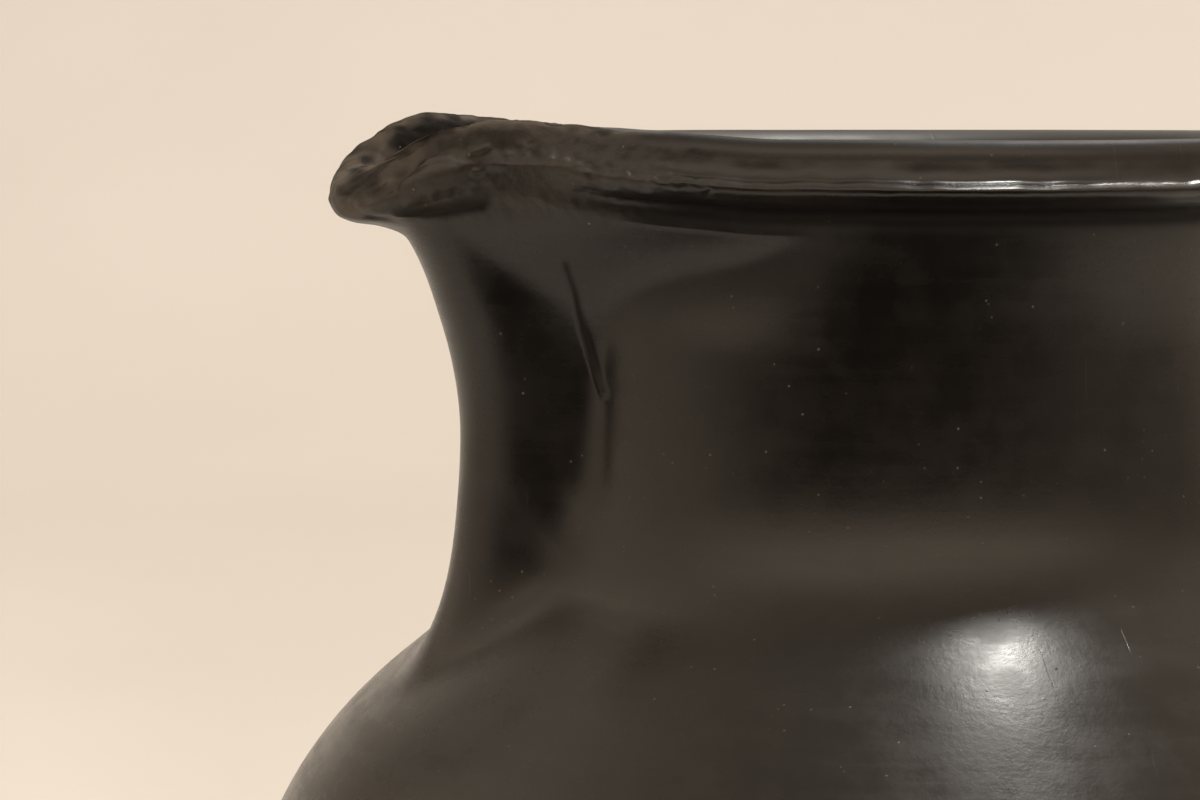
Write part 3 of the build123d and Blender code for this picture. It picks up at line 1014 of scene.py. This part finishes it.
wall_finish = {
    "dark": ((0.0036, 0.0030, 0.0025), (0.0090, 0.0072, 0.0056)),
    "light": ((0.0086, 0.0070, 0.0055), (0.0260, 0.0205, 0.0155)),
    "gloss": ((0.22, 0.34), (0.38, 0.62)),
    "grain": (0.000020, 0.000150),
    "dust": (0.15, 0.8),
}
burnished = clay_material("burnished_black_clay", **wall_finish)
pinched = clay_material("pinched_black_clay", **wall_finish)
dry_dark, dry_light, dry_gloss = (0.030, 0.027, 0.024), (0.070, 0.063, 0.055), (0.70, 0.88)
matte = clay_material(
    "dry_black_clay", [dry_dark] * 2, [dry_light] * 2, [dry_gloss] * 2, (0.00014, 0.00014), (1.0, 1.0))

finishes = {"clay_base_disc": (matte, "matte_clay")}
for name in ("clay_lip_near", "clay_lip_far", "clay_beak"):
    finishes[name] = (pinched, "pinched_clay")
for name, piece in pieces.items():
    material, slot_name = finishes.get(name, (burnished, "burnished_clay"))
    piece.data.materials.append(material)


# ---------------- camera
# Set out from the pitcher: spout to the left and turned a little towards the viewer.
spout_turn = math.radians(18)
toward_viewer = Vector((-math.sin(spout_turn), -math.cos(spout_turn), 0))
viewer_right = Vector((math.cos(spout_turn), -math.sin(spout_turn), 0))
viewer_distance = 0.448
viewer_height = (rim_top + 7.0) * MM
camera_data = bpy.data.cameras.new("camera")
camera_data.lens = 84.0
camera_data.sensor_width = 36.0
camera_data.clip_start = 0.01
camera = add_object("camera", camera_data)
camera.location = toward_viewer * viewer_distance + Vector((0, 0, viewer_height))
look_left = math.radians(6.79)
look_down = math.radians(6.33)
heading = -toward_viewer * math.cos(look_left) - viewer_right * math.sin(look_left)
gaze = heading * math.cos(look_down) - Vector((0, 0, math.sin(look_down)))
camera.rotation_euler = gaze.to_track_quat("-Z", "Y").to_euler()
bpy.context.scene.camera = camera


# ---------------- studio
def stage_point(right, away, up):
    """Point set out from the pitcher's axis as the viewer sees it."""
    return viewer_right * right - toward_viewer * away + Vector((0, 0, up))


def stage_sheet(name, profile):
    """Wide smooth sheet through (away, up) points."""
    half_width = 3.0
    points = []
    for away, up in profile:
        points += [stage_point(-half_width, away, up), stage_point(half_width, away, up)]
    faces = [[i, i + 1, i + 3, i + 2] for i in range(0, len(points) - 2, 2)]
    return add_mesh(name, [tuple(point) for point in points], faces)


wall_away = 1.9


def backdrop():
    """Pale floor that turns up into the wall behind, and more floor in front that the gloss doesn't mirror."""
    cove, cove_steps, front_edge = 0.8, 24, -0.42
    profile = [(front_edge, 0.0), (wall_away - cove, 0.0)]
    for step in range(1, cove_steps):
        angle = math.radians(90 * step / cove_steps)
        profile.append((wall_away - cove + cove * math.sin(angle), cove - cove * math.cos(angle)))
    profile += [(wall_away, cove), (wall_away, 2.6)]
    sheets = [stage_sheet("backdrop", profile), stage_sheet("front_floor", [(-2.6, 0.0), (front_edge, 0.0)])]
    sheets[1].visible_glossy = False
    material, n = new_material("warm_plaster")
    cloudy = n.noise(n.add("TexCoord").outputs["Object"], 3.0, 3.0)
    colour = n.mix(cloudy, (0.595, 0.570, 0.535), (0.640, 0.618, 0.588))
    close_shader(n, {"Base Color": colour, "Roughness": 0.9, "Specular IOR Level": 0.1})
    for sheet in sheets:
        sheet.data.materials.append(material)


backdrop()


lamp_white = (1.0, 0.97, 0.92)


def lamp(name, spot, aim, size, power, colour=lamp_white):
    """Soft disc lamp at spot, facing aim."""
    data = bpy.data.lights.new(name, "AREA")
    data.shape = "DISK"
    data.size = size
    data.energy = power
    data.color = colour
    light = add_object(name, data)
    light.location = spot
    light.rotation_euler = (aim - spot).to_track_quat("-Z", "Y").to_euler()
    return light


def lamp_towards(name, aim, direction, distance, size, power):
    """Lamp at a distance from aim, in a direction set out like a stage point."""
    return lamp(name, aim + stage_point(*direction).normalized() * distance, aim, size, power)


shoulder_spot = stage_point(0.010, -0.069, 0.164)    # the brightest place on the shoulder
lamp_towards("overhead", shoulder_spot, (0.15, 0.14, 0.98), 1.3, 0.11, 5.2)
front_high = lamp_towards("front_high", shoulder_spot, (0.10, -0.60, 0.80), 1.3, 0.10, 0.7)
front_high.visible_glossy = False
# A row of small lamps behind and above, seen only in the bead of the rim.
for number, direction in enumerate(((0.125, 0.55, 0.83), (0.19, 0.60, 0.78), (0.245, 0.68, 0.69))):
    rim_spot = stage_point(0.016 + 0.010 * number, -0.054 + 0.003 * number, 0.229)
    lamp_towards(f"rear_high_{number}", rim_spot, direction, 0.45, 0.045, 0.45)
fill_spot, fill_aim = stage_point(0.50, -1.5, 0.66), stage_point(-0.15, 0.70, 0.0)
lamp("low_fill", fill_spot, fill_aim, 0.20, 15.0, (1.0, 0.94, 0.87)).visible_glossy = False
wash_aim = stage_point(0, wall_away, 1.2)
for name, right, power in (("wash_left", -1.2, 12.6), ("wash_right", 1.1, 12.8)):
    wash = lamp(name, stage_point(right, 0.35, 1.2), wash_aim, 0.9, power, (1.0, 0.955, 0.90))
    wash.visible_glossy = False
    wash.visible_camera = False

# Dim room: light from above, behind, both sides and high in front.
room = bpy.data.worlds.new("room")
room.use_nodes = True
w = Nodes(room.node_tree)
parts = w.add("SeparateXYZ", None, {"Vector": w.add("TexCoord").outputs["Generated"]}).outputs
beyond = w.along(parts, -toward_viewer)
leftward = w.along(parts, -viewer_right)
strength = w.total(
    w.remap(parts["Z"], 0.20, 0.85, 0.0, 0.60),
    w.remap(beyond, -0.1, 0.7, 0.0, 0.16),
    w.remap(leftward, 0.35, 1.0, 0.0, 0.70),
    w.remap(leftward, -0.30, -0.90, 0.0, 0.34),
    w.times(w.remap(beyond, -0.15, -0.60), w.remap(parts["Z"], 0.35, 0.75, 0.0, 0.95)),
    0.005,
)
glow = w.add("Background", None, {"Color": (1.0, 0.81, 0.62), "Strength": strength})
w.add("OutputWorld", None, {"Surface": glow.outputs["Background"]})
bpy.context.scene.world = room
bpy.context.scene.view_settings.view_transform = "Standard"
